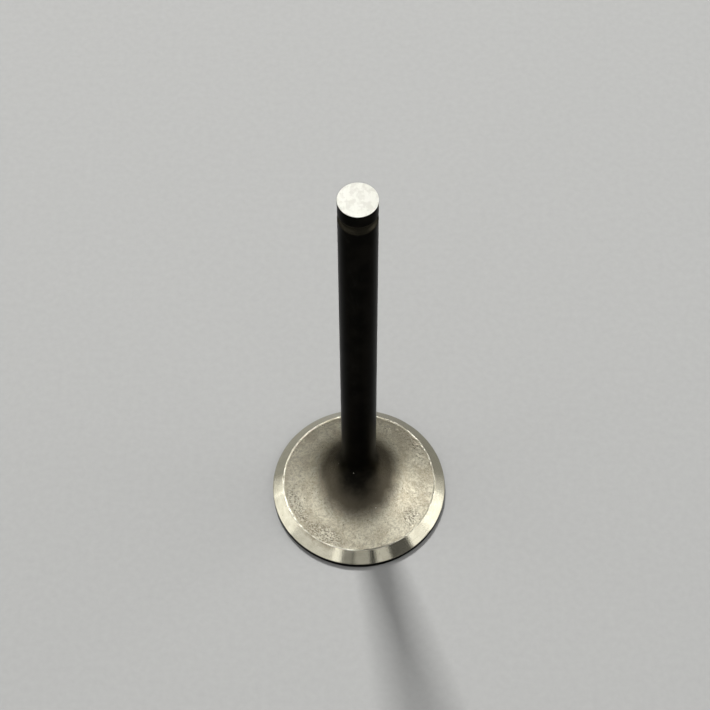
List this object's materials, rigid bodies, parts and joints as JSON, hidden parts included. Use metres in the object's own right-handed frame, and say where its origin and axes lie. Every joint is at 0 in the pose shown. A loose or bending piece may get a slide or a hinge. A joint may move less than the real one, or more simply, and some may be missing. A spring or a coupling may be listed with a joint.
{
  "type": "engine valve",
  "caption": "Poppet valve for a piston engine: a slim ground stem on a flared head, whose ground cone seals the port and whose grooved tip holds the spring keepers.",
  "frame": {"origin": "centre of the combustion face, which is the lowest plane of the part", "axes": "+Z along the stem's axis from the combustion face to the tip; the part is round, so X and Y are free"},
  "size_m": [0.0286, 0.0286, 0.0846],
  "materials": {
    "valve_steel": "satin"
  },
  "bodies": {
    "root": {"engine_valve": "valve_steel"}
  },
  "joints": []
}
